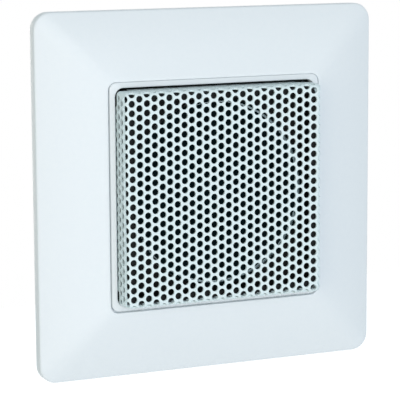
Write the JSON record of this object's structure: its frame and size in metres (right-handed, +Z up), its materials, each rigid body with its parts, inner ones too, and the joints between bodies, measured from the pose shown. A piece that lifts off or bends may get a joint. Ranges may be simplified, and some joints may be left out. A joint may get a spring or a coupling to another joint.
{
  "type": "in wall speaker",
  "caption": "Flush in-wall loudspeaker for a switch box: square cover frame, slim ring, raised perforated grille, small driver in a closed cup on a steel mounting plate.",
  "frame": {"origin": "centre of the two wall box screw slots, on the mounting plate's back face, which lies in the wall's surface", "axes": "+Z up on the wall, +X to the right seen from the room, +Y into the wall, so the grille faces -Y"},
  "size_m": [0.08, 0.036, 0.08],
  "materials": {
    "white_plastic": "moulded, satin gloss",
    "white_painted_steel": "powder coated",
    "zinc_plated_steel": "zinc plated",
    "black_plastic": "moulded, fine texture",
    "rubber": "matt",
    "cone_paper": "black dyed",
    "aluminium_foil": "rolled",
    "copper": "enamelled",
    "spider_cloth": "resin stiffened",
    "nickel_plate": "nickel plated",
    "phenolic": "laminated",
    "brass": "tinned where soldered",
    "grey_plastic": "moulded"
  },
  "bodies": {
    "wall_unit": {"cover_frame": "white_plastic", "adapter_ring": "white_plastic", "grille": "white_painted_steel", "mounting_plate": "zinc_plated_steel", "speaker_housing": "black_plastic", "driver_basket": "zinc_plated_steel", "surround": "rubber", "spider": "spider_cloth", "yoke_cup": "zinc_plated_steel", "magnet": "nickel_plate", "pole_plate": "zinc_plated_steel", "terminal_strip": "phenolic", "solder_lugs": "brass", "tinsel_leads": "copper", "terminal_block": "grey_plastic", "wire_clamps": "brass", "clamp_screws": "zinc_plated_steel"},
    "diaphragm": {"cone": "cone_paper", "dust_cap": "cone_paper", "voice_coil_former": "aluminium_foil", "voice_coil_winding": "copper"}
  },
  "joints": [
    {"name": "cone_travel", "type": "slide", "parent": "wall_unit", "child": "diaphragm", "axis": [0, -1, 0], "range_m": [-0.0006, 0.0006], "stiffness_N_per_m": 1300, "deforming": ["surround", "spider", "tinsel_leads"]}
  ]
}
